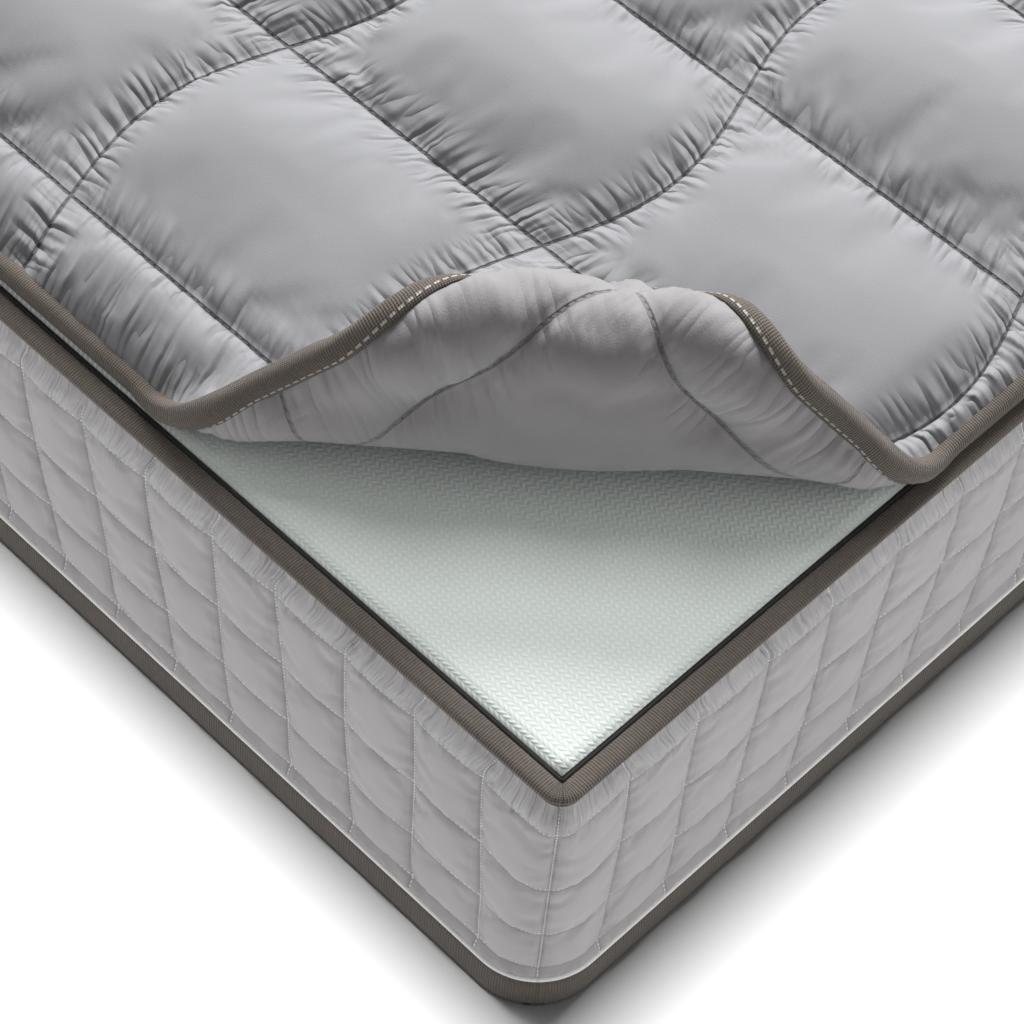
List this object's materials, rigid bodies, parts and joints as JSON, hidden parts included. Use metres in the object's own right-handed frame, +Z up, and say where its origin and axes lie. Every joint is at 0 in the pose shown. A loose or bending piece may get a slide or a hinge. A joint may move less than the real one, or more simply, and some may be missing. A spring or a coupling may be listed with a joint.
{
  "type": "memory foam mattress",
  "caption": "Double-bed memory foam mattress with a knit top panel, quilted taped border and a loose quilted topper whose corner is turned back and can be laid flat.",
  "frame": {"origin": "on the floor under the middle of the footprint", "axes": "+Z up through the thickness, +Y from the foot end to the head end, +X across the width; the turned corner is at +X, -Y"},
  "size_m": [1.5177, 2.012, 0.3653],
  "materials": {
    "foam": "open-cell polyurethane foam, matt cream",
    "memory_foam": "viscoelastic foam, matt pale blue-white",
    "wadding": "polyester wadding, matt white",
    "knit": "three-dimensional stretch knit with small slanted ridges, pale mint white, matt",
    "border_cloth": "smooth woven microfibre quilted with white thread, silver grey, soft sheen",
    "topper_cloth": "smooth woven microfibre, silver grey, soft sheen",
    "under_cloth": "brushed microfibre, lilac grey, matt",
    "tape": "ribbed woven tape, taupe brown, matt",
    "inner_tape": "narrow woven tape, black, matt",
    "base_band": "coarse woven band, taupe brown, matt",
    "piping": "covered cord piping, white",
    "bottom_cloth": "nonwoven cloth with a fine grip, dark grey-brown, matt"
  },
  "bodies": {
    "mattress": {"bottom_panel": "bottom_cloth", "support_core": "foam", "transition_foam": "foam", "memory_foam": "memory_foam", "knit_top_panel": "knit", "base_band_foot": "base_band", "piping_foot": "piping", "border_cloth_foot": "border_cloth", "border_wadding_foot": "wadding", "edge_tape_foot": "tape", "inner_tape_foot": "inner_tape", "base_band_right": "base_band", "piping_right": "piping", "border_cloth_right": "border_cloth", "border_wadding_right": "wadding", "edge_tape_right": "tape", "inner_tape_right": "inner_tape", "base_band_head": "base_band", "piping_head": "piping", "border_cloth_head": "border_cloth", "border_wadding_head": "wadding", "edge_tape_head": "tape", "inner_tape_head": "inner_tape", "base_band_left": "base_band", "piping_left": "piping", "border_cloth_left": "border_cloth", "border_wadding_left": "wadding", "edge_tape_left": "tape", "inner_tape_left": "inner_tape"},
    "topper": {"topper_top_cloth": "topper_cloth", "topper_fill": "wadding", "topper_under_cloth": "under_cloth", "topper_binding_foot": "tape", "topper_binding_right": "tape", "topper_binding_head": "tape", "topper_binding_left": "tape"},
    "flap_riser": {"riser_top_cloth": "topper_cloth", "riser_fill": "wadding", "riser_under_cloth": "under_cloth", "riser_binding_foot": "tape", "riser_binding_right": "tape"},
    "flap_tip": {"tip_top_cloth": "topper_cloth", "tip_fill": "wadding", "tip_under_cloth": "under_cloth", "tip_binding_foot": "tape", "tip_binding_right": "tape"}
  },
  "joints": [
    {"name": "topper_lift", "type": "slide", "parent": "mattress", "child": "topper", "axis": [0, 0, 1], "range_m": [0, 0.35]},
    {"name": "corner_fold", "type": "hinge", "parent": "topper", "child": "flap_riser", "pos_m": [0.64079, -0.86336, 0.26431], "axis": [0.7582, 0.652, 0], "range_deg": [0, 90]},
    {"name": "tip_fold", "type": "hinge", "parent": "flap_riser", "child": "flap_tip", "pos_m": [0.63747, -0.8595, 0.34674], "axis": [0.7582, 0.652, 0], "range_deg": [0, 140]}
  ],
  "couplings": [
    {"joint": "tip_fold", "follows": "corner_fold", "ratio": 1.5556}
  ]
}
